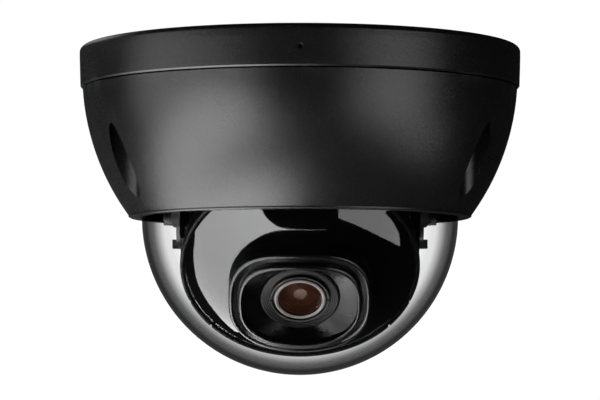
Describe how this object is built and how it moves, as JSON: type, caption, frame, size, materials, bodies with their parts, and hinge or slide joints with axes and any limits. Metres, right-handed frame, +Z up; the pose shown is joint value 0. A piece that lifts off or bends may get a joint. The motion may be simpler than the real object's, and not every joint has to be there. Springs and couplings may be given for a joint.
{
  "type": "dome security camera",
  "caption": "Ceiling dome camera: round die-cast base, tapered black cover with a clear dome, and a lens module that pans, tilts and turns about its lens axis.",
  "frame": {"origin": "centre of the ceiling face of the mounting base", "axes": "+Z up into the ceiling, the lens looks towards -Y and down, +X to the right as seen from the front"},
  "size_m": [0.122, 0.122, 0.0903],
  "materials": {
    "powder_coat_black": "fine-textured satin black powder coat on die-cast aluminium",
    "clear_polycarbonate": "clear, polished",
    "gloss_black": "high-gloss black",
    "satin_black": "satin black moulding",
    "rubber_black": "matt black rubber",
    "steel": "zinc-plated steel",
    "black_steel": "blackened steel",
    "bare_aluminium": "bare die-cast aluminium",
    "pale_ring": "bright turned ring",
    "lens_glass": "coated optical glass",
    "filter_glass": "thin filter glass",
    "circuit_board": "green solder mask",
    "white_board": "white solder mask",
    "chip_black": "moulded component",
    "connector_cream": "natural nylon",
    "washer_white": "white PTFE",
    "led_clear": "clear amber epoxy"
  },
  "bodies": {
    "base": {"mounting_base": "powder_coat_black", "ceiling_seal": "rubber_black", "cable_grommet": "rubber_black", "main_board": "circuit_board", "processor": "chip_black", "network_transformer": "chip_black", "board_capacitors": "bare_aluminium", "cable_header": "connector_cream", "module_connector": "connector_cream", "reset_switch": "steel", "board_screws": "steel", "pan_washer": "washer_white", "pan_retainer": "satin_black", "pan_retainer_screws": "steel", "microphone": "bare_aluminium", "microphone_boot": "rubber_black"},
    "reset": {"reset_button": "chip_black"},
    "cover": {"dome_cover": "powder_coat_black", "clear_dome": "clear_polycarbonate", "dome_gasket": "rubber_black", "dome_retainer": "satin_black", "dome_retainer_screws": "steel", "cover_seal": "rubber_black", "cover_screws": "black_steel", "cover_screw_washers": "rubber_black"},
    "yoke": {"gimbal_yoke": "satin_black", "yoke_arms": "satin_black"},
    "tilt": {"tilt_ring": "satin_black", "tilt_pivot_screws": "black_steel", "tilt_friction_washers": "washer_white", "tilt_spring_washers": "black_steel"},
    "eye": {"eye_shroud": "gloss_black", "lens_hood": "satin_black", "lens_panel": "gloss_black", "lens_front_ring": "satin_black", "lens_retaining_ring": "pale_ring", "front_lens": "lens_glass", "lens_barrel": "black_steel", "middle_lens": "lens_glass", "iris_ring": "black_steel", "rear_lens": "lens_glass", "lens_holder": "satin_black", "sensor_board": "circuit_board", "image_sensor": "chip_black", "sensor_screws": "steel", "infrared_board": "white_board", "infrared_leds": "led_clear", "rear_housing": "bare_aluminium", "module_screws": "steel", "roll_retainer": "steel"},
    "filter": {"filter_slider": "satin_black", "infrared_cut_filter": "filter_glass", "clear_filter": "filter_glass"}
  },
  "joints": [
    {"name": "cover_removal", "type": "slide", "parent": "base", "child": "cover", "axis": [0, 0, -1], "range_m": [0, 0.1]},
    {"name": "pan", "type": "hinge", "parent": "base", "child": "yoke", "pos_m": [0, 0, 0], "axis": [0, 0, 1], "range_deg": [-176, 176]},
    {"name": "tilt", "type": "hinge", "parent": "yoke", "child": "tilt", "pos_m": [0, 0, -0.0466], "axis": [1, 0, 0], "range_deg": [-18, 47]},
    {"name": "roll", "type": "hinge", "parent": "tilt", "child": "eye", "pos_m": [0, 0, -0.0466], "axis": [0, -0.7314, -0.682], "range_deg": [-176, 176]},
    {"name": "filter_shift", "type": "slide", "parent": "eye", "child": "filter", "axis": [-1, 0, 0], "range_m": [0, 0.0085]},
    {"name": "reset_press", "type": "slide", "parent": "base", "child": "reset", "axis": [0, 0, 1], "range_m": [0, 0.0004], "stiffness_N_per_m": 500, "springref_m": -0.002}
  ]
}
